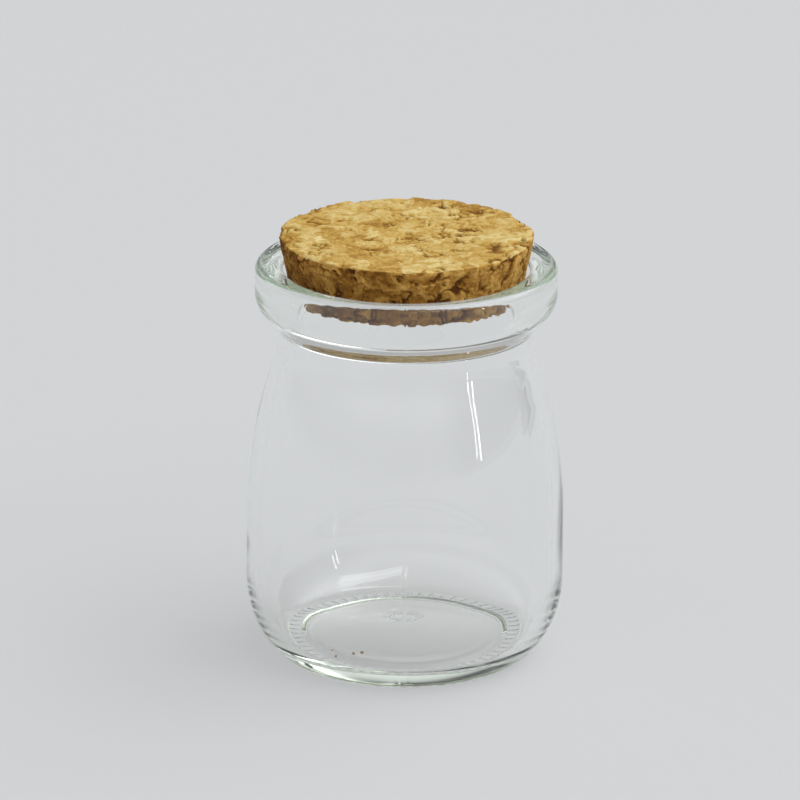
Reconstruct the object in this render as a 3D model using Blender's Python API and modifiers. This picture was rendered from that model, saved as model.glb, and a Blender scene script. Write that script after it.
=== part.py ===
"""Small glass pudding jar, empty, with a pressed cork resting in its mouth.

Metres, +Z up. The origin is on the jar's axis, level with the surface that the jar stands on.
Both pieces are turned shapes. The jar's base is knurled, and the cork is chipped and pitted.
"""

import math
import random

import bmesh
import bpy
import numpy as np
from mathutils import Matrix, Vector, noise

MM = 0.001

# Jar, outside
BODY_RADIUS = 30.5 * MM
JAR_HEIGHT = 78.0 * MM
SHOULDER_START = 27.0 * MM  # the straight body ends here
SHOULDER_END = 58.0 * MM
SHOULDER_RADIUS = 100.0 * MM  # of the arc that the shoulder follows
COLLAR_RADIUS = 29.0 * MM
COLLAR_TOP_ROUND = 1.4 * MM
COLLAR_SIDE_END = 72.4 * MM  # the collar's straight side ends here
COLLAR_UNDER_ROUND = 5.0 * MM
COLLAR_UNDER_SLOPE = math.radians(43)  # of the collar's underside, from the vertical
GROOVE_RADIUS = 24.25 * MM  # the narrowest place, under the collar
GROOVE_ROUND = 1.8 * MM
GROOVE_SLOPE = math.radians(10)
HEEL_START = 15.5 * MM
HEEL_WIDTH = 12.2 * MM
HEEL_DEPTH = 16.8 * MM  # the ellipse's lower end is cut off by the foot
HEEL_END = 0.35 * MM

# Jar, underside
FOOT_OUTER = 22.9 * MM
FOOT_INNER = 19.9 * MM
RECESS_LEAN = (-0.8, 1.0)  # the way in which the recess rises from the ring
RECESS_EDGE = 18.5 * MM
RECESS_HEIGHT = 0.9 * MM
RECESS_DOME = 0.5 * MM
KNURLS = 60
KNURL_INNER = 20.5 * MM
KNURL_OUTER = 24.6 * MM
KNURL_ROUND = 0.5 * MM
KNURL_DEPTH = 0.3 * MM
MARK_RADIUS = 3.0 * MM  # a plain raised ring under the base
MARK_BEAD = 0.35 * MM
MARK_OFFSET = 6.3 * MM

# Jar, inside
WALL = 2.3 * MM
FLOOR_HEIGHT = 5.2 * MM  # in the middle of the domed floor
FLOOR_EDGE = 18.2 * MM
FLOOR_FALL = 0.5 * MM  # the floor's edge lies lower than its middle
CORNER_WIDTH = 11.2 * MM  # the corner is part of an ellipse that follows the heel
CORNER_DEPTH = 15.3 * MM
CORNER_START = 16.1 * MM
CORNER_TURN = 47  # degrees of the ellipse, down from the wall
NECK_RADIUS = 21.9 * MM
NECK_START = 64.5 * MM
NECK_END = 67.3 * MM
THROAT_FOOT = 23.0 * MM  # the throat widens upwards like the cork
THROAT_START = 71.8 * MM
THROAT_RADIUS = 23.55 * MM
THROAT_ROUND = 0.9 * MM
LIP_FALL = 0.5 * MM  # the collar's top slopes down to the throat
JAR_STEPS = 64

# Cork
CORK_TOP = 83.7 * MM
CORK_BOTTOM = 72.6 * MM
CORK_TOP_RADIUS = 24.4 * MM
CORK_TAPER = 0.2  # radius lost for each unit of depth
CORK_EDGE = 0.45 * MM
CORK_STEPS = 60
CORK_ROUGHNESS = 0.22 * MM
GRAIN_SIZE = 4.5 * MM
PIT_GAP = 1.25  # centres of pits lie further apart than this many radii together
PIT_TRIES = 400
PIT_SEED = 11
PITS = {  # how many of each kind, their smallest and largest radius
    "rim": (16, 1.3 * MM, 2.4 * MM),
    "side": (26, 0.8 * MM, 1.5 * MM),
    "top": (22, 0.8 * MM, 1.7 * MM),
    "foot": (10, 0.9 * MM, 1.5 * MM),
}
TOP_MARGIN = 3 * MM  # pits in the faces stay this far inside the cork's edge
FOOT_MARGIN = 6 * MM
SIDE_MARGIN = 2 * MM

SMOOTH_ANGLE = math.radians(35)


def clear_scene():
    for thing in list(bpy.data.objects):
        bpy.data.objects.remove(thing, do_unlink=True)


def collection_of(name, hidden=False):
    group = bpy.data.collections.new(name)
    bpy.context.scene.collection.children.link(group)
    group.hide_render = hidden
    return group


def material_of(name, colour, roughness, metallic=0.0, transmission=0.0):
    material = bpy.data.materials.new(name)
    material.use_nodes = True
    shader = material.node_tree.nodes["Principled BSDF"]
    shader.inputs["Base Color"].default_value = (*colour, 1.0)
    shader.inputs["Roughness"].default_value = roughness
    shader.inputs["Metallic"].default_value = metallic
    shader.inputs["Transmission Weight"].default_value = transmission
    return material


def arc(centre, radii, start, end, steps):
    """Points on an ellipse, by angles in degrees from +r towards +z."""
    turn = np.radians(np.linspace(start, end, steps + 1))
    return [(centre[0] + radii[0] * math.cos(a), centre[1] + radii[1] * math.sin(a)) for a in turn]


def blend(start, start_lean, end, end_lean, steps):
    """Points of a cubic curve between two places, leaving and arriving along the two directions."""
    start, end = Vector(start), Vector(end)
    handle = (end - start).length / 3
    first = start + Vector(start_lean).normalized() * handle
    second = end - Vector(end_lean).normalized() * handle
    points = []
    for t in np.linspace(0, 1, steps + 1):
        back = 1 - t
        near = start * back**3 + first * (3 * back * back * t)
        far = second * (3 * back * t * t) + end * t**3
        points.append(tuple(near + far))
    return points


def inside_profile():
    """From the middle of the jar's floor up its inner wall to the lip."""
    wall_radius = BODY_RADIUS - WALL
    arc_radius = SHOULDER_RADIUS - WALL
    arc_centre = (BODY_RADIUS - SHOULDER_RADIUS, SHOULDER_START)
    lean = math.asin((SHOULDER_END - SHOULDER_START) / SHOULDER_RADIUS)
    dome = [(FLOOR_EDGE * part, FLOOR_HEIGHT - FLOOR_FALL * part * part) for part in (0.0, 0.4, 0.75, 1.0)]
    corner = arc((wall_radius - CORNER_WIDTH, CORNER_START), (CORNER_WIDTH, CORNER_DEPTH), -CORNER_TURN, 0, 5)
    turn = math.radians(CORNER_TURN)
    corner_lean = (CORNER_WIDTH * math.sin(turn), CORNER_DEPTH * math.cos(turn))
    points = dome + blend(dome[-1], (FLOOR_EDGE, -2 * FLOOR_FALL), corner[0], corner_lean, 3)[1:-1] + corner
    points += arc(arc_centre, (arc_radius, arc_radius), 0, math.degrees(lean), 4)
    neck = (NECK_RADIUS, NECK_START)
    points += blend(points[-1], (-math.sin(lean), math.cos(lean)), neck, (0, 1), 2)[1:]
    lip_centre = (THROAT_RADIUS + THROAT_ROUND, JAR_HEIGHT - LIP_FALL - THROAT_ROUND)
    throat = (THROAT_FOOT, THROAT_START)
    throat_lean = (THROAT_RADIUS - THROAT_FOOT, lip_centre[1] - THROAT_START)
    points += blend((NECK_RADIUS, NECK_END), (0, 1), throat, throat_lean, 3)
    points += arc(lip_centre, (THROAT_ROUND, THROAT_ROUND), 180, 90, 2)
    return points


def outside_profile():
    """From the lip down the collar, groove, shoulder, body and heel to the foot."""
    top = COLLAR_TOP_ROUND
    points = arc((COLLAR_RADIUS - top, JAR_HEIGHT - top), (top, top), 90, 0, 3)
    under = COLLAR_UNDER_ROUND
    slope = COLLAR_UNDER_SLOPE
    points += arc((COLLAR_RADIUS - under, COLLAR_SIDE_END), (under, under), 0, -math.degrees(slope), 3)
    groove_centre_radius = GROOVE_RADIUS + GROOVE_ROUND
    groove_start_radius = groove_centre_radius - GROOVE_ROUND * math.cos(slope)
    fall = (points[-1][0] - groove_start_radius) / math.tan(slope)
    groove_centre = (groove_centre_radius, points[-1][1] - fall - GROOVE_ROUND * math.sin(slope))
    first, last = 180 - math.degrees(slope), 180 + math.degrees(GROOVE_SLOPE)
    points += arc(groove_centre, (GROOVE_ROUND, GROOVE_ROUND), first, last, 3)
    lean = math.asin((SHOULDER_END - SHOULDER_START) / SHOULDER_RADIUS)
    arc_centre = (BODY_RADIUS - SHOULDER_RADIUS, SHOULDER_START)
    shoulder = arc(arc_centre, (SHOULDER_RADIUS, SHOULDER_RADIUS), math.degrees(lean), 0, 5)
    groove_lean = (math.sin(GROOVE_SLOPE), -math.cos(GROOVE_SLOPE))
    points += blend(points[-1], groove_lean, shoulder[0], (math.sin(lean), -math.cos(lean)), 3)[1:-1]
    points += shoulder
    heel_last = math.degrees(math.asin((HEEL_START - HEEL_END) / HEEL_DEPTH))
    points += arc((BODY_RADIUS - HEEL_WIDTH, HEEL_START), (HEEL_WIDTH, HEEL_DEPTH), 0, -heel_last, 6)
    return points


def underside_profile():
    """From the outer edge of the foot across the bearing ring and the recess to the middle."""
    points = [(FOOT_OUTER, 0.0), (KNURL_INNER, 0.0), (FOOT_INNER, 0.0)]
    points += blend(points[-1], RECESS_LEAN, (RECESS_EDGE, RECESS_HEIGHT), (-1, 0.1), 2)[1:]
    for part in (0.67, 0.33, 0.0):
        points.append((RECESS_EDGE * part, RECESS_HEIGHT + RECESS_DOME * (1 - part * part)))
    return points


def turned(name, profile, steps, collection):
    """A closed body from a profile that starts and ends on the axis."""
    mesh = bpy.data.meshes.new(name)
    edges = [(i, i + 1) for i in range(len(profile) - 1)]
    mesh.from_pydata([(r, 0.0, z) for r, z in profile], edges, [])
    body = bpy.data.objects.new(name, mesh)
    collection.objects.link(body)
    screw = body.modifiers.new("Turn", "SCREW")
    screw.axis = "Z"
    screw.steps = screw.render_steps = steps
    screw.use_merge_vertices = True
    screw.merge_threshold = 1e-6
    screw.use_smooth_shade = True
    return body


def settled(body):
    """The object with its modifiers made part of its mesh."""
    graph = bpy.context.evaluated_depsgraph_get()
    mesh = bpy.data.meshes.new_from_object(body.evaluated_get(graph))
    body.modifiers.clear()
    old = body.data
    body.data = mesh
    bpy.data.meshes.remove(old)
    mesh.name = body.name
    return body


def guide(name, mesh_maker, collection):
    """A cutting or joining shape that isn't a piece of its own."""
    mesh = bpy.data.meshes.new(name)
    work = bmesh.new()
    mesh_maker(work)
    work.to_mesh(mesh)
    work.free()
    shape = bpy.data.objects.new(name, mesh)
    shape.hide_render = True
    shape.display_type = "WIRE"
    collection.objects.link(shape)
    return shape


def boolean(body, shape, operation):
    step = body.modifiers.new(shape.name, "BOOLEAN")
    step.operation = operation
    step.solver = "EXACT"
    step.object = shape


def knurl_grooves(work):
    """Round-bottomed grooves that run out from the bearing ring, evenly round the foot."""
    length = KNURL_OUTER - KNURL_INNER
    middle = KNURL_INNER + length / 2
    lie_down = Matrix.Rotation(math.pi / 2, 4, "Y")
    place = Matrix.Translation((middle, 0, KNURL_DEPTH - KNURL_ROUND))
    for number in range(KNURLS):
        around = Matrix.Rotation((number + 0.5) * math.tau / KNURLS, 4, "Z")
        bmesh.ops.create_cone(
            work, cap_ends=True, segments=8, radius1=KNURL_ROUND, radius2=KNURL_ROUND,
            depth=length, matrix=around @ place @ lie_down,
        )


def moulded_ring(work):
    """A torus, half sunk in the recess: small circles swept round a ring."""
    distance = MARK_OFFSET / RECESS_EDGE
    height = RECESS_HEIGHT + RECESS_DOME * (1 - distance * distance)
    sides = 6
    turns = 24
    for number in range(sides):
        angle = (number + 0.5) * math.tau / sides
        start = (MARK_RADIUS + MARK_BEAD * math.cos(angle), 0, MARK_BEAD * math.sin(angle))
        work.verts.new(start)
    work.verts.ensure_lookup_table()
    loop = [work.edges.new((work.verts[i], work.verts[(i + 1) % sides])) for i in range(sides)]
    bmesh.ops.spin(
        work, geom=list(work.verts) + loop, cent=(0, 0, 0), axis=(0, 0, 1),
        angle=math.tau, steps=turns, use_merge=True,
    )
    bmesh.ops.recalc_face_normals(work, faces=work.faces)
    bmesh.ops.translate(work, verts=work.verts, vec=(0, MARK_OFFSET, height))


def make_jar(parts, guides):
    profile = inside_profile() + outside_profile() + underside_profile()
    jar = settled(turned("jar", profile, JAR_STEPS, parts))
    boolean(jar, guide("knurl_grooves", knurl_grooves, guides), "DIFFERENCE")
    boolean(jar, guide("moulded_ring", moulded_ring, guides), "UNION")
    jar.data.shade_smooth()
    jar.data.set_sharp_from_angle(angle=SMOOTH_ANGLE)
    jar.data.materials.append(material_of("clear_glass", (0.93, 0.96, 0.94), 0.03, transmission=1.0))
    return jar


def cork_profile():
    """From the middle of the cork's top over its edge, down its tapered side to its underside."""
    low_radius = CORK_TOP_RADIUS - CORK_TAPER * (CORK_TOP - CORK_BOTTOM)
    points = [(CORK_TOP_RADIUS * part, CORK_TOP) for part in (0.0, 0.25, 0.5, 0.75, 0.9)]
    points.append((CORK_TOP_RADIUS - CORK_EDGE, CORK_TOP))
    for part in (0.0, 0.33, 0.67, 1.0):
        height = CORK_TOP - CORK_EDGE + (CORK_BOTTOM - CORK_TOP + 2 * CORK_EDGE) * part
        points.append((CORK_TOP_RADIUS - CORK_TAPER * (CORK_TOP - height), height))
    points.append((low_radius - CORK_EDGE, CORK_BOTTOM))
    points += [(low_radius * part, CORK_BOTTOM) for part in (0.8, 0.4, 0.0)]
    return points


def roughen(body):
    """Draws the surface inwards by an even noise, so the cork never grows into the glass."""
    body.data.update()
    normals = [vertex.normal.copy() for vertex in body.data.vertices]
    for vertex, normal in zip(body.data.vertices, normals):
        coarse = noise.noise(vertex.co / GRAIN_SIZE)
        fine = noise.noise(vertex.co * 2.7 / GRAIN_SIZE + Vector((5, 1, 3)))
        vertex.co -= normal * CORK_ROUGHNESS * min(1.0, max(0.0, 0.5 + coarse + 0.5 * fine))


def pit_places(seed):
    """Centre, radius and outward direction of each pit, none of them touching another."""
    draw = random.Random(seed)
    places = []
    for kind, (count, small, large) in PITS.items():
        tries = 0
        made = 0
        while made < count and tries < PIT_TRIES:
            tries += 1
            angle = draw.uniform(0, math.tau)
            size = draw.uniform(small, large)
            reach = math.sqrt(draw.uniform(0, 1))
            height = draw.uniform(CORK_BOTTOM + SIDE_MARGIN, CORK_TOP - SIDE_MARGIN)
            outward = Vector((math.cos(angle), math.sin(angle), 0))
            side_radius = CORK_TOP_RADIUS - CORK_TAPER * (CORK_TOP - height)
            if kind == "rim":
                centre = outward * (CORK_TOP_RADIUS + 0.35 * size) + Vector((0, 0, CORK_TOP + 0.15 * size))
            elif kind == "side":
                centre = outward * (side_radius + 0.5 * size) + Vector((0, 0, height))
            elif kind == "top":
                centre = outward * (reach * (CORK_TOP_RADIUS - TOP_MARGIN))
                centre.z = CORK_TOP + 0.45 * size
            else:
                centre = outward * (reach * (CORK_TOP_RADIUS - FOOT_MARGIN))
                centre.z = CORK_BOTTOM - 0.45 * size
            gaps = [(centre - other).length - PIT_GAP * (size + other_size) for other, other_size, _ in places]
            if all(gap > 0 for gap in gaps):
                places.append((centre, size, angle))
                made += 1
    return places


def cork_pits(work):
    """Uneven blobs that bite the cork where a granule has dropped out."""
    for number, (centre, size, angle) in enumerate(pit_places(PIT_SEED)):
        made = bmesh.ops.create_icosphere(work, subdivisions=1, radius=size)
        squash = Matrix.Diagonal((1.0, 1.35, 0.75, 1.0))
        turn = Matrix.Rotation(angle + number, 4, "Z")
        for vertex in made["verts"]:
            swell = 1 + 0.22 * noise.noise(vertex.co / size * 1.7 + Vector((number, 0, 0)))
            vertex.co = Matrix.Translation(centre) @ turn @ squash @ (vertex.co * swell)


def make_cork(parts, guides):
    cork = settled(turned("cork", cork_profile(), CORK_STEPS, parts))
    roughen(cork)
    boolean(cork, guide("cork_pits", cork_pits, guides), "DIFFERENCE")
    cork.data.shade_smooth()
    cork.data.set_sharp_from_angle(angle=SMOOTH_ANGLE)
    cork.data.materials.append(material_of("pressed_cork", (0.56, 0.38, 0.15), 0.85))
    return cork


def main():
    clear_scene()
    parts = collection_of("pudding_jar")
    guides = collection_of("guides", hidden=True)
    make_jar(parts, guides)
    make_cork(parts, guides)


main()
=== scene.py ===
import math
import bpy
import numpy as np
from mathutils import Matrix, Vector


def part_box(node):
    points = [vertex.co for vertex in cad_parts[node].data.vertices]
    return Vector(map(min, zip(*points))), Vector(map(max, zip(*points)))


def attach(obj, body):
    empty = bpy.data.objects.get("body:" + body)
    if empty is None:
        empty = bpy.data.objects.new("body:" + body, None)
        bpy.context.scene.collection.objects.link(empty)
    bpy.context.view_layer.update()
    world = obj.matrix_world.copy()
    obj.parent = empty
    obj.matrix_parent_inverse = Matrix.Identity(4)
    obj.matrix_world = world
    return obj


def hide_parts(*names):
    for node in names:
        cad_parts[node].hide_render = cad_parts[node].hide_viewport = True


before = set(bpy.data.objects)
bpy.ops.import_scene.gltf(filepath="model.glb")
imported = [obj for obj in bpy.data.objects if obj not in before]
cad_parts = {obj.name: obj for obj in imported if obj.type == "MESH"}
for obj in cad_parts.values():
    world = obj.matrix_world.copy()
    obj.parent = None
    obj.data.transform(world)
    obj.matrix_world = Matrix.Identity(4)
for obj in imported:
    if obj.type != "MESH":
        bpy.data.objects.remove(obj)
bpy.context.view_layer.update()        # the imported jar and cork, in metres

mm = 0.001
tiny = 1e-9
jarLow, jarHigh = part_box("jar")
corkLow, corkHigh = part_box("cork")
print("frame loaded:", sorted(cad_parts))

# where the picture was taken from; the foot's middle lands on footPixel
cameraView = {
    "tilt": 18.22,  # degrees below the horizon
    "roll": 0.334,
    "distance": 1.9,
    "lens": 441.7,
    "sensor": 36.0,
    "clip": (0.05, 50.0),
    "imageSize": 800,
    "footPixel": (404.1, 647.1),
}


def makeCamera(view):
    # the camera stands back from the foot along its own axis, shifted so that the foot falls on its
    # pixel: shift = pixels from the picture's middle * width of a pixel at the foot
    data = bpy.data.cameras.new("camera")
    data.lens = view["lens"]
    data.sensor_width = view["sensor"]
    data.clip_start, data.clip_end = view["clip"]
    camera = bpy.data.objects.new("camera", data)
    bpy.context.scene.collection.objects.link(camera)
    turn = Matrix.Rotation(math.radians(90 - view["tilt"]), 4, "X")
    turn = turn @ Matrix.Rotation(math.radians(view["roll"]), 4, "Z")
    perPixel = view["sensor"] / view["imageSize"] / view["lens"] * view["distance"]
    right = (view["footPixel"][0] - view["imageSize"] / 2) * perPixel
    up = (view["imageSize"] / 2 - view["footPixel"][1]) * perPixel
    place = turn @ Vector((-right, -up, view["distance"]))
    camera.matrix_world = Matrix.Translation(place) @ turn
    bpy.context.scene.camera = camera
    print("camera placed:", [round(part, 3) for part in place])


# pale table and the soft light round it; brightness is radiance, and directions are seen from the jar,
# an azimuth to the right of the camera and an elevation
studio = {
    "floorColour": (0.297, 0.30, 0.305),
    "floorGlow": 0.40,  # the table is lit from below as well
    "floorSize": 6.0,
    "floorRough": 0.75,
    "floorShine": 0.2,
    "tint": (0.985, 1.0, 1.02),  # of all that the sky gives
    "bright": (100.0, 38.0),
    "skySteps": ((0.0, 0.23), (0.68, 0.33), (1.0, 2.1)),  # from far off the brightest direction to it
    "dark": (-155.0, 38.0),
    "darkSteps": ((0.60, 1.0), (0.92, 0.15)),  # the sky is this much weaker near its dark place
    "horizonSteps": ((0.0, 0.60), (0.07, 0.42), (0.14, 0.46), (0.28, 0.85)),  # by the elevation's sine
    "horizonTop": 0.62,  # the band along the horizon has faded out here
    "sideSteps": ((0.40, 1.0), (0.85, 0.5)),  # the band is this much weaker out to the right
    "keyAzimuth": 31.0,
    "keyElevation": 39.0,
    "keyDistance": 1.6,
    "keySize": (1.7, 0.2),
    "keyPower": 2.9,
    "stripAzimuth": 59.0,
    "stripElevation": 9.0,
    "stripDistance": 1.5,
    "stripSize": (0.035, 0.42),
    "stripPower": 0.6,
    "aimHeight": 0.04,  # of the place that the lamps face
    "bounces": 32,
    "propAzimuth": 117.0,  # a dark thing on the table, out of the picture, that the shoulder mirrors
    "propDistance": 0.6,
    "propOutline": ((-0.10, 0.0), (0.09, 0.0), (0.07, 0.018), (0.10, 0.034), (0.02, 0.046),
                    (-0.01, 0.070), (-0.05, 0.058), (-0.06, 0.030), (-0.10, 0.022)),
    "propColour": (0.012, 0.014, 0.013),
    "propRough": 0.8,
    "propShine": 0.5,
}


def directionTo(azimuth, elevation):
    # azimuth 0 is towards the camera and grows to its right-hand side:
    # x = sin a cos e, y = -cos a cos e, z = sin e
    a, e = math.radians(azimuth), math.radians(elevation)
    return Vector((math.sin(a) * math.cos(e), -math.cos(a) * math.cos(e), math.sin(e)))


def areaLight(look, name):
    # a rectangular lamp that looks back along its own direction: place = direction * distance + aim
    data = bpy.data.lights.new(name + "Light", "AREA")
    data.shape = "RECTANGLE"
    data.size, data.size_y = look[name + "Size"]
    data.energy = look[name + "Power"]
    light = bpy.data.objects.new(name + "Light", data)
    bpy.context.scene.collection.objects.link(light)
    away = directionTo(look[name + "Azimuth"], look[name + "Elevation"])
    light.location = away * look[name + "Distance"] + Vector((0, 0, look["aimHeight"]))
    light.rotation_mode = "QUATERNION"
    light.rotation_quaternion = away.to_track_quat("Z", "Y")


def greyRamp(nodes, links, value, steps, tint=(1, 1, 1)):
    # a smooth ramp through the steps, each a place and a grey, and each grey * tint
    ramp = nodes.new("ShaderNodeValToRGB")
    ramp.color_ramp.interpolation = "EASE"
    stops = ramp.color_ramp.elements
    stops.remove(stops[1])
    for number, (place, grey) in enumerate(steps):
        stop = stops[0] if number == 0 else stops.new(place)
        stop.position = place
        stop.color = (*[grey * part for part in tint], 1)
    links.new(value, ramp.inputs["Fac"])
    return ramp.outputs["Color"]


def facing(nodes, links, place, direction):
    # cosine of the angle between where the sky is looked at and a direction
    node = nodes.new("ShaderNodeVectorMath")
    node.operation = "DOT_PRODUCT"
    node.inputs[1].default_value = directionTo(*direction)
    links.new(place, node.inputs[0])
    return node.outputs["Value"]


def productNode(nodes, links, first, second):
    # first * second, colour by colour
    node = nodes.new("ShaderNodeVectorMath")
    node.operation = "MULTIPLY"
    links.new(first, node.inputs[0])
    links.new(second, node.inputs[1])
    return node.outputs["Vector"]


def makeWorld(look):
    # sky = ramp by the nearness to the bright direction * ramp by the cosine to the dark one
    # band = ramp by the sine of the elevation * ramp by how far to the right
    # the world is the band along the horizon, and it eases into the sky at the band's top
    world = bpy.data.worlds.new("studio")
    bpy.context.scene.world = world
    world.use_nodes = True
    nodes, links = world.node_tree.nodes, world.node_tree.links
    nodes.clear()
    place = nodes.new("ShaderNodeTexCoord").outputs["Generated"]
    near = nodes.new("ShaderNodeMapRange")
    near.inputs["From Min"].default_value = -1.0
    links.new(facing(nodes, links, place, look["bright"]), near.inputs["Value"])
    light = greyRamp(nodes, links, near.outputs["Result"], look["skySteps"], look["tint"])
    shade = greyRamp(nodes, links, facing(nodes, links, place, look["dark"]), look["darkSteps"])
    parts = nodes.new("ShaderNodeSeparateXYZ")
    links.new(place, parts.inputs[0])
    horizon = greyRamp(nodes, links, parts.outputs["Z"], look["horizonSteps"], look["tint"])
    side = greyRamp(nodes, links, parts.outputs["X"], look["sideSteps"])
    rise = nodes.new("ShaderNodeMapRange")
    rise.interpolation_type = "SMOOTHSTEP"
    rise.inputs["From Min"].default_value = look["horizonSteps"][-1][0]
    rise.inputs["From Max"].default_value = look["horizonTop"]
    links.new(parts.outputs["Z"], rise.inputs["Value"])
    band = productNode(nodes, links, horizon, side)
    sky = productNode(nodes, links, light, shade)
    glow = nodes.new("ShaderNodeBackground")
    out = nodes.new("ShaderNodeOutputWorld")
    links.new(mixNode(nodes, links, rise.outputs["Result"], band, sky), glow.inputs["Color"])
    links.new(glow.outputs["Background"], out.inputs["Surface"])


def letLightThrough(bounces):
    # light goes to and fro in thick glass many times before it comes out
    paths = bpy.context.scene.cycles
    paths.max_bounces = bounces
    paths.glossy_bounces = bounces
    paths.transmission_bounces = bounces


def plainPaint(name, colour, roughness, shine):
    # one colour all over
    paint = bpy.data.materials.new(name)
    paint.use_nodes = True
    shader = paint.node_tree.nodes["Principled BSDF"]
    shader.inputs["Base Color"].default_value = (*colour, 1)
    shader.inputs["Roughness"].default_value = roughness
    shader.inputs["Specular IOR Level"].default_value = shine
    return paint


def flatPiece(name, points, paint):
    # a single face through the points
    mesh = bpy.data.meshes.new(name)
    mesh.from_pydata(points, [], [tuple(range(len(points)))])
    mesh.materials.append(paint)
    piece = bpy.data.objects.new(name, mesh)
    bpy.context.scene.collection.objects.link(piece)
    return piece


def makeProp(look):
    # an upright card with an uneven outline, turned to face the jar:
    # place = direction * distance + sideways * across + height
    away = directionTo(look["propAzimuth"], 0)
    along = Vector((-away.y, away.x, 0))
    middle = away * look["propDistance"]
    points = [middle + along * across + Vector((0, 0, up)) for across, up in look["propOutline"]]
    paint = plainPaint("darkPaint", look["propColour"], look["propRough"], look["propShine"])
    prop = flatPiece("darkProp", points, paint)


def makeFloor(look):
    # a square table top; glow = colour * strength
    half = look["floorSize"] / 2
    points = [(-half, -half, 0), (half, -half, 0), (half, half, 0), (-half, half, 0)]
    paint = plainPaint("floorPaint", look["floorColour"], look["floorRough"], look["floorShine"])
    shader = paint.node_tree.nodes["Principled BSDF"]
    shader.inputs["Emission Color"].default_value = (*look["floorColour"], 1)
    shader.inputs["Emission Strength"].default_value = look["floorGlow"] / look["floorColour"][1]
    floor = flatPiece("floor", points, paint)


def makeStudio(look):
    # sky, two lamps, table and card, shown without a film look
    makeWorld(look)
    letLightThrough(look["bounces"])
    for name in ("key", "strip"):
        areaLight(look, name)
    makeFloor(look)
    makeProp(look)
    bpy.context.scene.view_settings.view_transform = "Standard"
    bpy.context.scene.view_settings.look = "None"
    print("studio made")


def arcPoints(centre, radii, start, end, count):
    # r = cr + a cos t, z = cz + b sin t, for t from start to end in degrees
    turn = np.radians(np.linspace(start, end, count))
    return np.stack([centre[0] + radii[0] * np.cos(turn), centre[1] + radii[1] * np.sin(turn)], axis=1)


def curvePoints(start, startLean, end, endLean, count):
    # cubic curve between two places, its handles a third of the chord long, along the two leans
    start, end = np.array(start, float), np.array(end, float)
    handle = np.linalg.norm(end - start) / 3
    first = start + handle * np.array(startLean) / np.linalg.norm(startLean)
    second = end - handle * np.array(endLean) / np.linalg.norm(endLean)
    t = np.linspace(0, 1, count)[:, None]
    back = 1 - t
    return start * back**3 + first * 3 * back**2 * t + second * 3 * back * t**2 + end * t**3


def linePoints(start, end, count):
    # start * (1 - t) + end * t
    t = np.linspace(0, 1, count)[:, None]
    return np.array(start) * (1 - t) + np.array(end) * t


def smoothStep(low, high, value):
    # 3 t^2 - 2 t^3, where t runs from 0 at low to 1 at high
    t = np.clip((value - low) / (high - low), 0, 1)
    return t * t * (3 - 2 * t)


# the noises read random numbers on a repeating lattice, some way from where its count starts
latticeCount = 32
latticeShift = 100.0


def cloud(points, size, seed):
    # value noise from -1 to 1: random numbers on a lattice of the given size, eased between its corners
    lattice = np.random.default_rng(seed).uniform(-1, 1, (latticeCount,) * 3)
    scaled = points / size + latticeShift
    base = np.floor(scaled).astype(int)
    t = scaled - base
    t = t * t * (3 - 2 * t)
    total = np.zeros(len(points))
    for corner in np.ndindex(2, 2, 2):
        weight = np.prod(np.where(corner, t, 1 - t), axis=1)
        index = (base + corner) % latticeCount
        total += weight * lattice[index[:, 0], index[:, 1], index[:, 2]]
    return total


def layeredCloud(points, size, seed, layers):
    # noise + noise / 2 + noise / 4 and so on, each layer half as large as the one before
    total = np.zeros(len(points))
    for layer in range(layers):
        total += cloud(points, size / 2**layer, seed + layer) / 2**layer
    return total


def evenCloud(points, size, seed, layers):
    # the same, brought back to -1 to 1
    return layeredCloud(points, size, seed, layers) / (2 - 0.5 ** (layers - 1))


def closedGrid(name, x, y, z):
    # rows run from pole to pole and columns round the axis; the first and last rows are single points
    rows, columns = x.shape
    ring = np.stack([x[1:-1], y[1:-1], z[1:-1]], axis=-1).reshape(-1, 3)
    poles = np.array([[x[0, 0], y[0, 0], z[0, 0]], [x[-1, 0], y[-1, 0], z[-1, 0]]])
    points = np.concatenate([ring, poles])
    here = np.arange((rows - 2) * columns).reshape(rows - 2, columns)
    after = np.roll(here, -1, axis=1)
    quads = np.stack([here[:-1], here[1:], after[1:], after[:-1]], axis=-1).reshape(-1, 4)
    firstPole, lastPole = len(points) - 2, len(points) - 1
    firstFan = np.stack([np.full(columns, firstPole), here[0], after[0]], axis=-1)
    lastFan = np.stack([np.full(columns, lastPole), after[-1], here[-1]], axis=-1)
    corners = np.concatenate([quads.ravel(), firstFan.ravel(), lastFan.ravel()])
    sizes = np.concatenate([np.full(len(quads), 4), np.full(2 * columns, 3)])
    starts = np.concatenate([[0], np.cumsum(sizes)[:-1]])
    mesh = bpy.data.meshes.new(name)
    mesh.vertices.add(len(points))
    mesh.vertices.foreach_set("co", points.astype(np.float32).ravel())
    mesh.loops.add(len(corners))
    mesh.loops.foreach_set("vertex_index", corners.astype(np.int32))
    mesh.polygons.add(len(sizes))
    mesh.polygons.foreach_set("loop_start", starts.astype(np.int32))
    mesh.update(calc_edges=True)
    mesh.shade_smooth()
    piece = bpy.data.objects.new(name, mesh)
    bpy.context.scene.collection.objects.link(piece)
    return piece


def spreadRows(form, profile, busy):
    # rows lie evenly along a measure that grows by length * (1 + busy) + bend * bendLength
    step = np.diff(profile, axis=0)
    length = np.linalg.norm(step, axis=1)
    lean = np.unwrap(np.arctan2(step[:, 1], step[:, 0]))
    growth = length * (1 + busy[1:]) + form["bendLength"] * np.abs(np.gradient(lean))
    measure = np.concatenate([[0], np.cumsum(growth)])
    places = np.linspace(0, measure[-1], form["rows"])
    spread = np.stack([np.interp(places, measure, column) for column in profile.T], axis=1)
    return spread, places, measure


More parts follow.
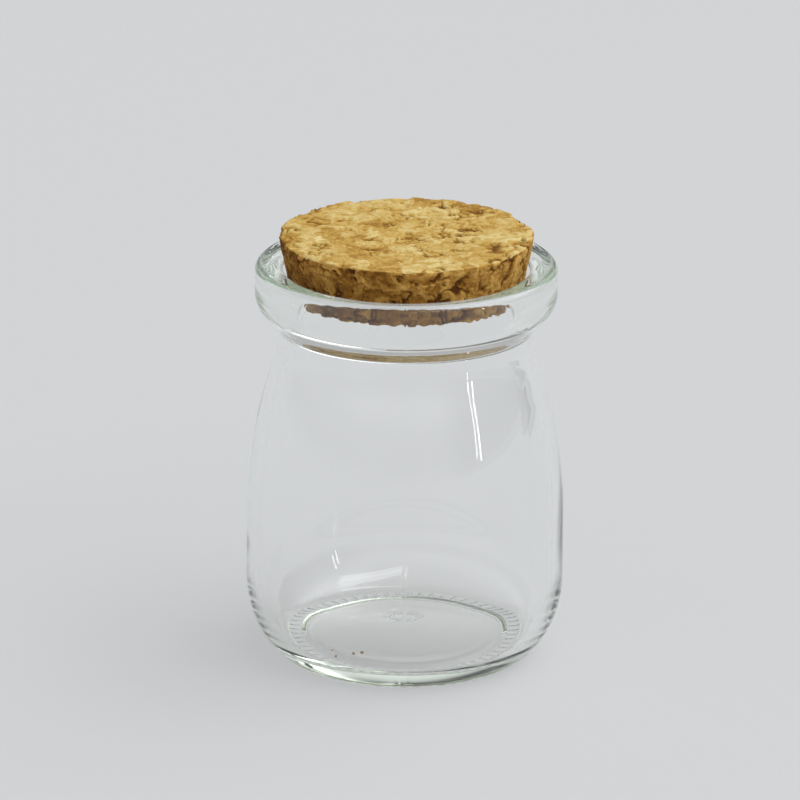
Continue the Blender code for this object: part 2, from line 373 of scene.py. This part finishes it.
# the jar's form; lengths are in metres and slopes in degrees
jarForm = {
    "bodyRadius": (jarHigh[0] - jarLow[0]) / 2,
    "height": jarHigh[2],
    "shoulderStart": 27.0 * mm,
    "shoulderEnd": 58.0 * mm,
    "shoulderRadius": 100.0 * mm,
    "collarRadius": 29.0 * mm,
    "collarTopRound": 1.4 * mm,
    "collarSideEnd": 72.4 * mm,
    "collarUnderRound": 5.0 * mm,
    "collarUnderSlope": 43.0,
    "grooveRadius": 24.25 * mm,
    "grooveRound": 1.8 * mm,
    "grooveSlope": 10.0,
    "heelStart": 15.5 * mm,
    "heelWidth": 12.2 * mm,
    "heelDepth": 16.8 * mm,
    "heelEnd": 0.35 * mm,
    "footOuter": 22.9 * mm,
    "footInner": 19.9 * mm,
    "toeLean": (-0.85, -0.5),  # the way in which the heel runs into the foot
    "recessLean": (-0.8, 1.0),  # the way in which the recess rises from the ring
    "domeLean": (-1.0, 0.1),
    "recessEdge": 18.5 * mm,
    "recessHeight": 0.9 * mm,
    "recessDome": 0.5 * mm,
    "wall": 2.3 * mm,
    "floorHeight": 5.2 * mm,
    "floorEdge": 18.2 * mm,
    "floorEdgeHeight": 4.7 * mm,
    "cornerWidth": 11.2 * mm,
    "cornerDepth": 15.3 * mm,
    "cornerStart": 16.1 * mm,
    "cornerEnd": 47.0,
    "neckRadius": 21.9 * mm,
    "neckStart": 64.5 * mm,
    "neckEnd": 67.3 * mm,
    "throatRadius": 23.55 * mm,
    "throatFoot": 23.0 * mm,
    "throatStart": 71.8 * mm,
    "throatRound": 0.9 * mm,
    "lipFall": 0.5 * mm,
    "knurls": 60,
    "knurlInner": 20.5 * mm,
    "knurlOuter": 25.0 * mm,
    "knurlTop": 2.0 * mm,
    "knurlRound": 0.5 * mm,
    "knurlDepth": 0.3 * mm,
    "markRadius": 3.0 * mm,
    "markBead": 0.3 * mm,
    "markWidth": 0.6 * mm,
    "markOffset": 6.3 * mm,
    "seamHeight": 0.06 * mm,
    "seamWidth": 0.22 * mm,
    "seamFoot": 1.0 * mm,
    "seamReach": 3.2,  # the extra columns go out to this many widths
    "partingHeight": 63.0 * mm,
    "partingBead": 0.06 * mm,
    "partingWidth": 0.25 * mm,
    "uneven": 0.035 * mm,
    # strength, turns, start and climb of each wave in the inner wall
    "waves": ((1.0, 3, 1.0, 70), (0.7, 5, 0.0, -110), (0.5, 2, 0.0, 160)),
    "wavesStart": (8.0 * mm, 16.0 * mm),
    "wavesEnd": (58.0 * mm, 64.0 * mm),
    "rows": 188,
    "bendLength": 0.9 * mm,  # a bend of one radian draws rows like this much length
    "busyKnurls": 1.2,  # and these stretches draw this much more than their own length
    "busyCollar": 0.6,
    "busyFloor": -0.6,
    "busyMark": 0.8,
    "quietRadius": 14.0 * mm,
    "knurlMargin": 0.4 * mm,
    "collarMargin": 1.0 * mm,
    "perKnurl": 8,
    "seamColumns": 14,
    "glassTint": (0.80, 0.93, 0.76),
    "tintDensity": 12.0,
    "glassIor": 1.52,
}


def jarInside(form):
    # floor, corner, wall, shoulder, neck, throat and lip, from the middle of the floor upwards;
    # the floor's height = its height in the middle - fall * (distance / edge)^2
    wallRadius = form["bodyRadius"] - form["wall"]
    corner = (wallRadius - form["cornerWidth"], form["cornerStart"])
    arcRadius = form["shoulderRadius"] - form["wall"]
    arcCentre = (form["bodyRadius"] - form["shoulderRadius"], form["shoulderStart"])
    lean = math.asin((form["shoulderEnd"] - form["shoulderStart"]) / form["shoulderRadius"])
    bend = arcPoints(corner, (form["cornerWidth"], form["cornerDepth"]), -form["cornerEnd"], 0, 160)
    part = np.linspace(0, 1, 100)
    fall = form["floorHeight"] - form["floorEdgeHeight"]
    dome = np.stack([form["floorEdge"] * part, form["floorHeight"] - fall * part**2], axis=1)
    dip = curvePoints(dome[-1], (1, -2 * fall / form["floorEdge"]), bend[0], bend[1] - bend[0], 60)
    wall = linePoints(bend[-1], (wallRadius, form["shoulderStart"]), 60)
    shoulder = arcPoints(arcCentre, (arcRadius, arcRadius), 0, math.degrees(lean), 160)
    neckStart = (form["neckRadius"], form["neckStart"])
    neckEnd = (form["neckRadius"], form["neckEnd"])
    neck = curvePoints(shoulder[-1], (-math.sin(lean), math.cos(lean)), neckStart, (0, 1), 80)
    lipRound = form["throatRound"]
    lipCentre = (form["throatRadius"] + lipRound, form["height"] - form["lipFall"] - lipRound)
    throat = (form["throatFoot"], form["throatStart"])
    throatLean = (form["throatRadius"] - throat[0], lipCentre[1] - throat[1])
    widening = curvePoints(neckEnd, (0, 1), throat, throatLean, 60)
    lip = arcPoints(lipCentre, (lipRound, lipRound), 180, 90, 50)
    return np.concatenate([dome, dip, bend, wall, shoulder, neck, linePoints(neckStart, neckEnd, 20),
                           widening, linePoints(throat, lip[0], 30), lip])


def jarOutside(form):
    # lip, collar, groove, shoulder, body and heel, from the lip downwards; below the collar a
    # straight slope touches the arcs at both its ends
    top = form["collarTopRound"]
    under = form["collarUnderRound"]
    slope = math.radians(form["collarUnderSlope"])
    rim = arcPoints((form["collarRadius"] - top, form["height"] - top), (top, top), 90, 0, 60)
    underside = arcPoints((form["collarRadius"] - under, form["collarSideEnd"]), (under, under), 0,
                          -form["collarUnderSlope"], 60)
    grooveMiddle = form["grooveRadius"] + form["grooveRound"]
    fall = (underside[-1, 0] - grooveMiddle + form["grooveRound"] * math.cos(slope)) / math.tan(slope)
    grooveCentre = (grooveMiddle, underside[-1, 1] - fall - form["grooveRound"] * math.sin(slope))
    groove = arcPoints(grooveCentre, (form["grooveRound"],) * 2, 180 - form["collarUnderSlope"],
                       180 + form["grooveSlope"], 60)
    lean = math.asin((form["shoulderEnd"] - form["shoulderStart"]) / form["shoulderRadius"])
    arcCentre = (form["bodyRadius"] - form["shoulderRadius"], form["shoulderStart"])
    shoulder = arcPoints(arcCentre, (form["shoulderRadius"],) * 2, math.degrees(lean), 0, 200)
    grooveLast = math.radians(form["grooveSlope"])
    grooveLean = (math.sin(grooveLast), -math.cos(grooveLast))
    neck = curvePoints(groove[-1], grooveLean, shoulder[0], (math.sin(lean), -math.cos(lean)), 60)
    heelLast = math.degrees(math.asin((form["heelStart"] - form["heelEnd"]) / form["heelDepth"]))
    heelCentre = (form["bodyRadius"] - form["heelWidth"], form["heelStart"])
    heel = arcPoints(heelCentre, (form["heelWidth"], form["heelDepth"]), 0, -heelLast, 200)
    return np.concatenate([rim, linePoints(rim[-1], underside[0], 20), underside,
                           linePoints(underside[-1], groove[0], 20), groove, neck, shoulder,
                           linePoints(shoulder[-1], heel[0], 60), heel])


def jarUnderside(form, heelPoint):
    # foot, bearing ring, recess wall and shallow dome, towards the middle;
    # the dome's height = recess height + dome * (1 - (distance / edge)^2)
    toe = curvePoints(heelPoint, form["toeLean"], (form["footOuter"], 0), (-1, 0), 30)
    ring = linePoints(toe[-1], (form["footInner"], 0), 80)
    recess = (form["recessEdge"], form["recessHeight"])
    wall = curvePoints(ring[-1], form["recessLean"], recess, form["domeLean"], 60)
    part = np.linspace(1, 0, 100)
    dome = np.stack([recess[0] * part, recess[1] + form["recessDome"] * (1 - part**2)], axis=1)
    return np.concatenate([toe, ring, wall, dome])


def jarAngles(form):
    # even steps for the knurling, with extra columns where the mould seams run, front and back
    count = form["knurls"] * form["perKnurl"]
    even = np.arange(count) * (math.tau / count)
    reach = form["seamReach"] * form["seamWidth"] / form["bodyRadius"]
    extra = np.linspace(-reach, reach, form["seamColumns"])
    angles = np.concatenate([even, 1.5 * math.pi + extra, 0.5 * math.pi + extra])
    return np.unique(np.round(angles % math.tau, 6))


def makeGlass(form):
    # clear glass; the light left after a path = exp(-(1 - tint) * density * path)
    glass = bpy.data.materials.new("clearGlass")
    glass.use_nodes = True
    nodes, links = glass.node_tree.nodes, glass.node_tree.links
    shader = nodes["Principled BSDF"]
    shader.inputs["Base Color"].default_value = (1, 1, 1, 1)
    shader.inputs["Roughness"].default_value = 0.0
    shader.inputs["IOR"].default_value = form["glassIor"]
    shader.inputs["Transmission Weight"].default_value = 1.0
    tint = nodes.new("ShaderNodeVolumeAbsorption")
    tint.inputs["Color"].default_value = (*form["glassTint"], 1)
    tint.inputs["Density"].default_value = form["tintDensity"]
    links.new(tint.outputs["Volume"], nodes["Material Output"].inputs["Volume"])
    return glass


def jarOutline(form):
    # the whole outline, and the side that each point is on: 0 inside, 1 outside, 2 underneath
    inside = jarInside(form)
    outside = jarOutside(form)
    under = jarUnderside(form, outside[-1])
    profile = np.concatenate([inside, outside, under])
    which = np.repeat([0.0, 1.0, 2.0], [len(inside), len(outside), len(under)])
    apart = np.linalg.norm(np.diff(profile, axis=0), axis=1) > tiny
    keep = np.concatenate([[True], apart])
    return profile[keep], which[keep]


def jarBusy(form, profile, which):
    # the rows stand closer in the knurling, the collar and the mark, and wider apart on the floor
    r, z = profile[:, 0], profile[:, 1]
    knurled = (which > 0) & (z < form["knurlTop"]) & (r < form["knurlOuter"])
    knurled = knurled & (r > form["knurlInner"] - form["knurlMargin"])
    collar = z > form["partingHeight"] - form["collarMargin"]
    quiet = (r < form["quietRadius"]) & (which == 0)
    marked = (r < form["markOffset"] + 2 * form["markRadius"]) & (which == 2)
    busy = form["busyKnurls"] * knurled + form["busyCollar"] * collar
    return busy + form["busyFloor"] * quiet + form["busyMark"] * marked


def jarRelief(form, r, z, a, side):
    # what isn't turned: radius and height change with the angle a; side is as in jarOutline
    inner = (side < 0.5)[:, None]
    outer = (np.abs(side - 1) < 0.01)[:, None]
    lower = (side > 1.0)[:, None] & (r > form["recessEdge"])
    # two seams, front and back: height * exp(-(distance / width)^2)
    away = np.abs((a / math.pi) % 1 - 0.5) * math.pi * r
    ridge = form["seamHeight"] * np.exp(-(away / form["seamWidth"]) ** 2)
    r = r + ridge * outer * (z > form["seamFoot"])
    # parting line round the neck: bead * exp(-(distance / width)^2)
    bead = np.exp(-((z - form["partingHeight"]) / form["partingWidth"]) ** 2)
    r = r + form["partingBead"] * bead * outer
    # the blown inner wall is uneven: the sum of strength * sin(turns * angle + start + climb * height)
    waves = 0
    for strength, turns, start, climb in form["waves"]:
        waves = waves + strength * np.sin(turns * a + start + climb * z)
    calm = smoothStep(*form["wavesStart"], z) * (1 - smoothStep(*form["wavesEnd"], z))
    r = r + form["uneven"] * waves * inner * calm
    # knurling: round-bottomed grooves, depth - round + sqrt(round^2 - across^2), run out from the ring
    pitch = math.tau / form["knurls"]
    across = ((a / pitch) % 1 - 0.5) * pitch * r
    cut = np.sqrt(np.maximum(form["knurlRound"] ** 2 - across**2, 0))
    cut = cut + form["knurlDepth"] - form["knurlRound"]
    reach = (r > form["knurlInner"]) & lower | outer & (z < form["knurlTop"])
    z = np.where(reach, np.maximum(z, cut), z)
    # a plain raised ring under the recess: bead * (1 - (distance / width)^2)^2
    fromMark = np.hypot(r * np.cos(a), r * np.sin(a) - form["markOffset"]) - form["markRadius"]
    mark = form["markBead"] * np.clip(1 - (fromMark / form["markWidth"]) ** 2, 0, 1) ** 2
    return r, z - mark * ((side > 1.5)[:, None] & (r < form["recessEdge"]))


def makeJar(form):
    # x = r cos a, y = r sin a, z over rows of the outline and columns of the angle a
    profile, which = jarOutline(form)
    spread, places, measure = spreadRows(form, profile, jarBusy(form, profile, which))
    side = np.interp(places, measure, which)
    angle = jarAngles(form)
    r = spread[:, :1] + 0 * angle
    z = spread[:, 1:] + 0 * angle
    a = angle + 0 * r
    r, z = jarRelief(form, r, z, a, side)
    jar = closedGrid("glassJar", r * np.cos(a), r * np.sin(a), z)
    jar.data.materials.append(makeGlass(form))
    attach(jar, "root")
    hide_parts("jar")
    print("jar made:", len(jar.data.polygons), "faces")


# the stopper; tones run from 0, dark, to 1, light, and the colours are linear
corkForm = {
    "topRadius": 24.4 * mm,
    "taper": 0.2,
    "edge": 0.45 * mm,
    "edgePoints": 5,
    "columns": 520,
    "rowStep": 0.27 * mm,
    "underStep": 0.55 * mm,
    "granule": (3.4 * mm, 5),  # size and seed
    "flake": (2.3 * mm, 6),
    "flakeFlat": (1, 1, 1.6),  # flakes and pits are squeezed by this along each axis
    "pitFlat": (1, 1, 1.4),
    "clouds": {  # size, seed and layers of each noise
        "warp": (2.6 * mm, 20, 3),
        "opened": (3.2 * mm, 40, 3),
        "pit": (2.2 * mm, 50, 3),
        "rough": (1.1 * mm, 60, 3),
        "roll": (6.0 * mm, 70, 2),
        "rim": (2.4 * mm, 80, 3),
        "foot": (1.1 * mm, 85, 2),
    },
    "limits": {  # where each begins and where it is whole
        "opened": (0.1, 0.5),
        "pit": (0.75, 1.15),
        "rim": (-0.2, 0.9),
        "foot": (-0.5, 0.8),
        "side": (0.2, 0.9),
        "paintedLight": (0.45, 1.0),
    },
    "warp": 1.6 * mm,
    "crackWidth": 0.22 * mm,
    "crackDepth": 0.55 * mm,
    "sideCracks": 0.12,  # the side has this much more of them than the top
    "pitDepth": 0.8 * mm,
    "creaseWidth": 0.11 * mm,
    "creaseDepth": 0.12 * mm,
    "granuleDepth": 0.08 * mm,
    "flakeDepth": 0.16 * mm,
    "roughDepth": 0.06 * mm,
    "rollDepth": 0.05 * mm,
    "sideRough": 0.1,  # the relief is this much higher on the side
    "rimChip": 0.75 * mm,
    "rimReach": 1.0 * mm,
    "footChip": 0.45 * mm,
    "footReach": 0.9 * mm,
    "sideRagged": 0.35,  # how unevenly the top's colours give way to the side's
    "plainTone": 0.16,
    "granuleTone": 0.35,
    "flakeTone": 0.45,
    "rollTone": 0.2,
    "sideTone": 0.06,
    "paintedLightAzimuth": 52.0,  # painted light: the side is painted paler towards here, where the lamps light it from the right
    "paintedLightAmount": 0.30,
    "creaseDark": 0.3,  # against the 1 of a crack or pit
    "topDark": 0.85,
    "crackTone": 0.55,  # how far a crack darkens the tone round it
    "topColours": ((0.36, 0.155, 0.022), (0.72, 0.45, 0.10), (0.95, 0.77, 0.35)),
    "sideColours": ((0.09, 0.030, 0.004), (0.33, 0.145, 0.018), (0.68, 0.40, 0.10)),
    "middleTone": 0.45,
    "crackColour": (0.11, 0.036, 0.005),
    "roughness": 0.9,
    "shine": 0.2,
    "grain": 900.0,
    "grainDetail": 5.0,
    "grainRough": 0.65,
    "grainAmount": 0.30,
    "streak": 1.7,  # thin layers in each millimetre of a granule
    "streakDetail": 3.0,
    "streakAmount": 0.55,
}


def pointCount(length, step):
    # how many points lie about a step apart
    return max(3, int(length / step) + 1)


def corkProfile(form, top, bottom):
    # middle of the top, over the edge, down the tapered side, to the middle of the underside;
    # lower radius = top radius - taper * height
    edge = form["edge"]
    highRadius = form["topRadius"]
    lowRadius = highRadius - form["taper"] * (top - bottom)
    faceCount = pointCount(highRadius, form["rowStep"])
    sideCount = pointCount(top - bottom, form["rowStep"])
    underCount = pointCount(lowRadius, form["underStep"])
    face = linePoints((0, top), (highRadius - edge, top), faceCount)
    rim = arcPoints((highRadius - edge, top - edge), (edge, edge), 90, 0, form["edgePoints"])
    side = linePoints((highRadius, top - edge), (lowRadius, bottom + edge), sideCount)
    foot = arcPoints((lowRadius - edge, bottom + edge), (edge, edge), 0, -90, form["edgePoints"])
    under = linePoints((lowRadius - edge, bottom), (0, bottom), underCount)
    return np.concatenate([face, rim[1:], side[1:], foot[1:], under[1:]])


def granuleFields(points, size, seed):
    # one seed sits in each cell of a lattice; gives half the difference between the distances to the
    # second nearest and the nearest seed, and that seed's tone and distance along its own direction
    rng = np.random.default_rng(seed)
    cells = (latticeCount,) * 3
    seat = rng.uniform(0.1, 0.9, (*cells, 3))
    trait = rng.uniform(0, 1, cells)
    lean = rng.normal(size=(*cells, 3))
    lean /= np.linalg.norm(lean, axis=-1)[..., None]
    scaled = points / size + latticeShift
    base = np.floor(scaled).astype(int)
    first = np.full(len(points), np.inf)
    second, tone, line = first.copy(), first.copy(), first.copy()
    for corner in np.ndindex(3, 3, 3):
        cell = base + np.array(corner) - 1
        index = tuple((cell % latticeCount).T)
        gap = np.linalg.norm(cell + seat[index] - scaled, axis=1)
        closer = gap < first
        second = np.where(closer, first, np.minimum(second, gap))
        first = np.where(closer, gap, first)
        tone = np.where(closer, trait[index], tone)
        line = np.where(closer, (scaled * lean[index]).sum(axis=1), line)
    return (second - first) / 2 * size, tone, line * size


def addField(piece, name, grid):
    # one value for each point, in the order in which closedGrid keeps its points
    values = np.concatenate([grid[1:-1].ravel(), [grid[0, 0], grid[-1, 0]]])
    field = piece.data.attributes.new(name, "FLOAT", "POINT")
    field.data.foreach_set("value", values.astype(np.float32))


def corkGrain(form, points, sideways):
    # granules, flakes and what lies between them; sideways is 0 on the top and 1 on the side
    clouds, limits = form["clouds"], form["limits"]
    size, seed, layers = clouds["warp"]
    push = [layeredCloud(points, size, seed + 5 * axis, layers) for axis in range(3)]
    moved = points + form["warp"] * np.stack(push, axis=1)
    border, tone, line = granuleFields(moved, *form["granule"])
    seam, flakeTone, flakeLine = granuleFields(moved * np.array(form["flakeFlat"]), *form["flake"])
    # cracks follow some of the borders between granules: exp(-(distance / width)^2)
    opened = layeredCloud(points, *clouds["opened"]) + form["sideCracks"] * sideways
    crack = np.exp(-((border / form["crackWidth"]) ** 2)) * smoothStep(*limits["opened"], opened)
    hollow = layeredCloud(points * np.array(form["pitFlat"]), *clouds["pit"])
    return {
        "tone": tone,
        "flakeTone": flakeTone,
        "line": (line + flakeLine) / mm,
        "crack": crack,
        "crease": np.exp(-((seam / form["creaseWidth"]) ** 2)),
        "pit": smoothStep(*limits["pit"], hollow),
        "rough": evenCloud(moved, *clouds["rough"]),
        "roll": evenCloud(points, *clouds["roll"]),
    }


def corkBites(form, points, profile, edge, corner):
    # an edge is bitten away where a noise is high: depth * exp(-(distance / reach)^2) * noise
    gap = np.hypot(profile[:, 0] - corner[0], profile[:, 1] - corner[1])
    near = form[edge + "Chip"] * np.exp(-((gap / form[edge + "Reach"]) ** 2))
    noise = smoothStep(*form["limits"][edge], layeredCloud(points, *form["clouds"][edge]))
    return near[:, None] * noise.reshape(len(profile), -1)


def makeCork(form, finish):
    # the turned outline, sunk along its own normal by the sum of depth * field
    top, bottom = corkHigh[2], corkLow[2]
    profile = corkProfile(form, top, bottom)
    step = np.gradient(profile, axis=0)
    step /= np.linalg.norm(step, axis=1)[:, None]
    outward = np.stack([-step[:, 1], step[:, 0]], axis=1)
    a = np.arange(form["columns"]) * (math.tau / form["columns"])
    r = profile[:, :1] + 0 * a
    z = profile[:, 1:] + 0 * a
    points = np.stack([r * np.cos(a), r * np.sin(a), z], axis=-1).reshape(-1, 3)
    sideways = np.repeat(outward[:, 0], form["columns"])
    grain = corkGrain(form, points, sideways)
    sink = form["flakeDepth"] * (0.5 - grain["flakeTone"]) + form["granuleDepth"] * (0.5 - grain["tone"])
    for name in ("rough", "roll", "crease"):
        sink += form[name + "Depth"] * grain[name]
    sink *= 1 + form["sideRough"] * sideways
    for name in ("crack", "pit"):
        sink += form[name + "Depth"] * grain[name]
    footRadius = profile[profile[:, 1] < bottom + tiny, 0].max()
    sink = sink.reshape(r.shape)
    sink += corkBites(form, points, profile, "rim", (form["topRadius"], top))
    sink += corkBites(form, points, profile, "foot", (footRadius, bottom))
    sink[0], sink[-1] = sink[0].mean(), sink[-1].mean()
    r = r - outward[:, :1] * sink
    z = z - outward[:, 1:] * sink
    cork = closedGrid("corkStopper", r * np.cos(a), r * np.sin(a), z)
    # painted light: the side's tone is raised towards the lamps on the right, a painted stand-in for the
    # light that falls there
    paintedLight = directionTo(form["paintedLightAzimuth"], 0)
    towardsPaintedLight = smoothStep(*form["limits"]["paintedLight"], np.cos(a) * paintedLight.x + np.sin(a) * paintedLight.y) + 0 * r
    tone = form["plainTone"] + form["granuleTone"] * grain["tone"] + form["flakeTone"] * grain["flakeTone"]
    tone += form["rollTone"] * grain["roll"] - form["sideTone"] * sideways * (1 + grain["roll"])
    tone += form["paintedLightAmount"] * sideways * towardsPaintedLight.ravel()
    dark = np.clip(grain["crack"] + grain["pit"] + form["creaseDark"] * grain["crease"], 0, 1)
    dark *= form["topDark"] + (1 - form["topDark"]) * sideways
    side = smoothStep(*form["limits"]["side"], sideways + form["sideRagged"] * grain["rough"])
    for name, field in (("tone", tone), ("line", grain["line"]), ("dark", dark), ("side", side)):
        addField(cork, name, field.reshape(r.shape))
    cork.data.materials.append(finish)
    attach(cork, "root")
    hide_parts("cork")
    print("cork made:", len(cork.data.polygons), "faces")


def fieldNode(nodes, name):
    # a field that addField has given to the points
    node = nodes.new("ShaderNodeAttribute")
    node.attribute_name = name
    return node.outputs["Fac"]


def rampNode(nodes, links, value, colours, middle):
    # dark at 0, the middle colour at middle, light at 1
    ramp = nodes.new("ShaderNodeValToRGB")
    ramp.color_ramp.elements[0].color = (*colours[0], 1)
    ramp.color_ramp.elements[1].color = (*colours[2], 1)
    ramp.color_ramp.elements.new(middle).color = (*colours[1], 1)
    links.new(value, ramp.inputs["Fac"])
    return ramp.outputs["Color"]


def mathNode(nodes, links, operation, first, second):
    # one sum of two values, each a number or another node's output
    node = nodes.new("ShaderNodeMath")
    node.operation = operation
    for socket, value in zip(node.inputs, (first, second)):
        if isinstance(value, float):
            socket.default_value = value
        else:
            links.new(value, socket)
    return node.outputs[0]


def mixNode(nodes, links, factor, first, second):
    # first * (1 - factor) + second * factor
    node = nodes.new("ShaderNodeMix")
    node.data_type = "RGBA"
    links.new(factor, node.inputs["Factor"])
    links.new(first, node.inputs["A"])
    links.new(second, node.inputs["B"])
    return node.outputs["Result"]


def makeCorkFinish(form):
    # reading = tone + (noise - 0.5) * 2 * amount, once for fine grain and once for the thin layers
    # along each granule, - dark * crackTone
    # one ramp reads it for the top and one for the side, and the cracks are mixed in by dark^2
    cork = bpy.data.materials.new("pressedCork")
    cork.use_nodes = True
    nodes, links = cork.node_tree.nodes, cork.node_tree.links
    shader = nodes["Principled BSDF"]
    shader.inputs["Roughness"].default_value = form["roughness"]
    shader.inputs["Specular IOR Level"].default_value = form["shine"]
    grain = nodes.new("ShaderNodeTexNoise")
    grain.inputs["Scale"].default_value = form["grain"]
    grain.inputs["Detail"].default_value = form["grainDetail"]
    grain.inputs["Roughness"].default_value = form["grainRough"]
    links.new(nodes.new("ShaderNodeTexCoord").outputs["Object"], grain.inputs["Vector"])
    layer = nodes.new("ShaderNodeTexNoise")
    layer.noise_dimensions = "1D"
    layer.inputs["Scale"].default_value = form["streak"]
    layer.inputs["Detail"].default_value = form["streakDetail"]
    links.new(fieldNode(nodes, "line"), layer.inputs["W"])
    tone = fieldNode(nodes, "tone")
    for noise, amount in ((grain, form["grainAmount"]), (layer, form["streakAmount"])):
        swing = mathNode(nodes, links, "SUBTRACT", noise.outputs["Fac"], 0.5)
        tone = mathNode(nodes, links, "ADD", tone, mathNode(nodes, links, "MULTIPLY", swing, 2 * amount))
    dark = fieldNode(nodes, "dark")
    darkening = mathNode(nodes, links, "MULTIPLY", dark, form["crackTone"])
    tone = mathNode(nodes, links, "SUBTRACT", tone, darkening)
    top = rampNode(nodes, links, tone, form["topColours"], form["middleTone"])
    side = rampNode(nodes, links, tone, form["sideColours"], form["middleTone"])
    face = mixNode(nodes, links, fieldNode(nodes, "side"), top, side)
    crack = nodes.new("ShaderNodeRGB")
    crack.outputs[0].default_value = (*form["crackColour"], 1)
    deep = mathNode(nodes, links, "MULTIPLY", dark, dark)
    links.new(mixNode(nodes, links, deep, face, crack.outputs[0]), shader.inputs["Base Color"])
    return cork


# crumbs of cork on the jar's floor
crumbForm = {
    # azimuth from the camera, distance from the axis and size, both in millimetres
    "places": ((-42, 20.4, 0.24), (-36.5, 21.6, 0.27), (-29, 19.7, 0.34), (-25, 18.9, 0.36)),
    "columns": 26,
    "rows": 16,
    "lump": (0.9, 90, 2),  # size, seed and layers of the noise
    "apart": 7,  # each crumb reads the noise this far from where the one before does
    "uneven": 0.35,
    "shape": (1.0, 0.8, 0.6),
    "turns": 3,
    "clear": 0.03 * mm,
    "floorPoints": 300,  # of the jar's inner outline, from the middle of the floor
    "tone": 0.05,
    "toneSwing": 0.5,
    "side": 0.5,
    "line": 3.0,
}


def makeCrumb(form, number, floor):
    # a ball whose radius is 1 + uneven * noise, flattened, turned, and lifted clear of the floor
    azimuth, distance, size = form["places"][number]
    across = np.linspace(0, math.tau, form["columns"], endpoint=False)
    down = np.linspace(0, math.pi, form["rows"])[:, None]
    ball = [np.sin(down) * np.cos(across), np.sin(down) * np.sin(across), np.cos(down) + 0 * across]
    ball = np.stack(ball, axis=-1)
    noise = layeredCloud(ball.reshape(-1, 3) + form["apart"] * number, *form["lump"])
    lump = 1 + form["uneven"] * noise.reshape(ball.shape[:2])
    lump[0], lump[-1] = lump[0].mean(), lump[-1].mean()
    grid = ball * lump[..., None] * np.array(form["shape"]) * size * mm
    turn = math.radians(azimuth * form["turns"])
    middle = directionTo(azimuth, 0) * distance * mm
    x = grid[..., 0] * math.cos(turn) - grid[..., 1] * math.sin(turn) + middle.x
    y = grid[..., 0] * math.sin(turn) + grid[..., 1] * math.cos(turn) + middle.y
    ground = np.interp(np.hypot(x, y), floor[:, 0], floor[:, 1])
    lift = (ground - grid[..., 2]).max() + form["clear"]
    crumb = closedGrid("crumb", x, y, grid[..., 2] + lift)
    addField(crumb, "tone", form["tone"] + form["toneSwing"] * lump)
    addField(crumb, "side", form["side"] + 0 * lump)
    addField(crumb, "dark", 0 * lump)
    addField(crumb, "line", form["line"] * lump)
    return crumb


def makeCrumbs(form, jar, finish):
    # the crumbs are one piece
    floor = jarInside(jar)[:form["floorPoints"]]
    pieces = [makeCrumb(form, number, floor) for number in range(len(form["places"]))]
    bpy.ops.object.select_all(action="DESELECT")
    for crumb in pieces:
        crumb.select_set(True)
    bpy.context.view_layer.objects.active = pieces[0]
    bpy.ops.object.join()
    crumbs = pieces[0]
    crumbs.name = "corkCrumbs"
    crumbs.data.materials.append(finish)
    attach(crumbs, "root")
    print("crumbs made:", len(form["places"]))


makeCamera(cameraView)
makeStudio(studio)
makeJar(jarForm)
corkFinish = makeCorkFinish(corkForm)
makeCork(corkForm, corkFinish)
makeCrumbs(crumbForm, jarForm, corkFinish)
